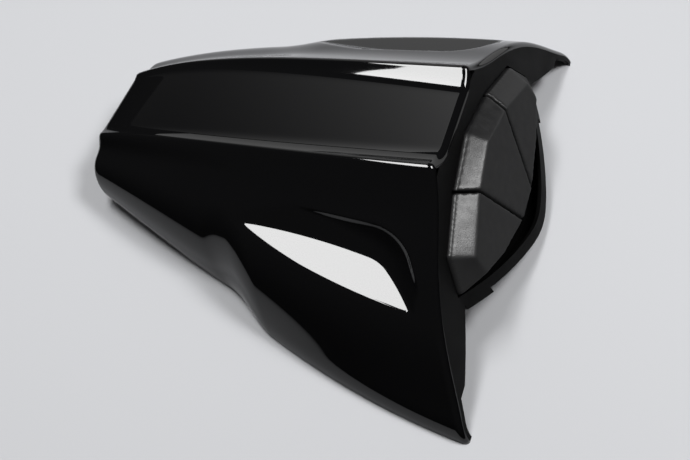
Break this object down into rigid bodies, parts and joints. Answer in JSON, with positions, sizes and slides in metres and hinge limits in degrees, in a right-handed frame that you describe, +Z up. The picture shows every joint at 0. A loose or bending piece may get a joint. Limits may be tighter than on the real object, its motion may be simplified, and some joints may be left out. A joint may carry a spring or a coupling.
{
  "type": "seat cowl",
  "caption": "Gloss black motorbike seat cowl: an open-bottomed moulded shell with scooped flanks, a segmented satin pad on its leaning front wall, and a latch striker below the deck.",
  "frame": {"origin": "On the ground under the middle of the cowl's box", "axes": "+X forward towards the rider, +Y to the left, +Z up"},
  "size_m": [0.2766, 0.3, 0.0832],
  "materials": {
    "gloss_black_abs": "gloss",
    "satin_black_pad": "satin",
    "black_steel": "satin",
    "zinc_steel": "satin",
    "black_rubber": "matte"
  },
  "bodies": {
    "root": {"cowl_shell": "gloss_black_abs", "pad_left": "satin_black_pad", "pad_center": "satin_black_pad", "pad_right": "satin_black_pad", "striker_plate": "black_steel", "striker_loop": "zinc_steel", "striker_screws": "zinc_steel", "rear_tongue": "black_steel", "tongue_screws": "zinc_steel", "buffer_front_left": "black_rubber", "buffer_front_right": "black_rubber", "buffer_rear_left": "black_rubber", "buffer_rear_right": "black_rubber"}
  },
  "joints": []
}
